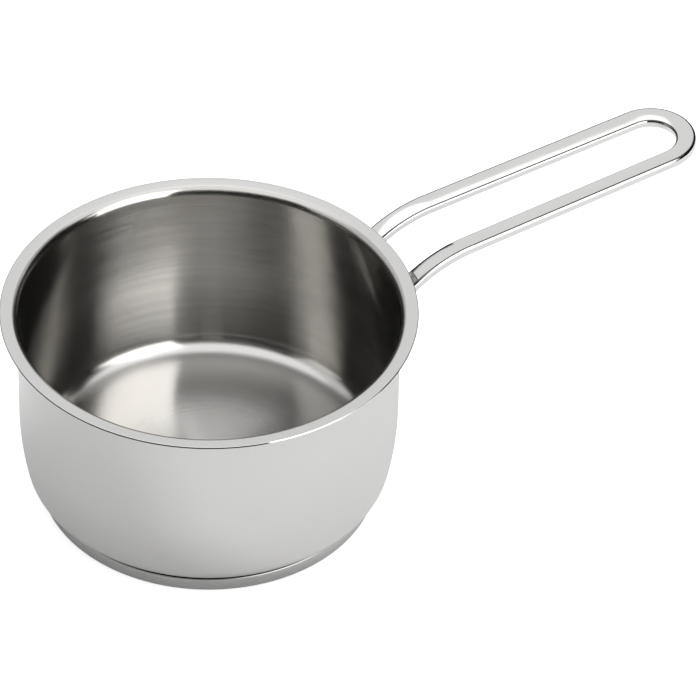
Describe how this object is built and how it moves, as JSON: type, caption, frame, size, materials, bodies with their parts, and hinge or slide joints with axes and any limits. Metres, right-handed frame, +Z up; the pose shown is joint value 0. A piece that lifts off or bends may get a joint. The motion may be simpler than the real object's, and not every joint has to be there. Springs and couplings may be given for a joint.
{
  "type": "milk pan",
  "caption": "Small round steel pan with a straight wall, flared pouring lip, capped heat-spreading base and a long loop handle bent from a flattened bar, for warming milk or sauce.",
  "frame": {"origin": "centre of the flat face that the pan rests on", "axes": "+Z up through the pan's mouth, +X along the handle towards its loop end, +Y to the left of someone looking along +X"},
  "size_m": [0.2886, 0.154, 0.0887],
  "materials": {
    "pan_steel": "brushed inside, satin polish outside",
    "cap_steel": "turned, fine rings",
    "core_aluminium": "plain sheet",
    "handle_steel": "polished with rounded edges",
    "weld_steel": "cleaned weld"
  },
  "bodies": {
    "root": {"pan_body": "pan_steel", "base_cap": "cap_steel", "base_core": "core_aluminium", "handle": "handle_steel", "handle_weld_left": "weld_steel", "handle_weld_right": "weld_steel"}
  },
  "joints": []
}
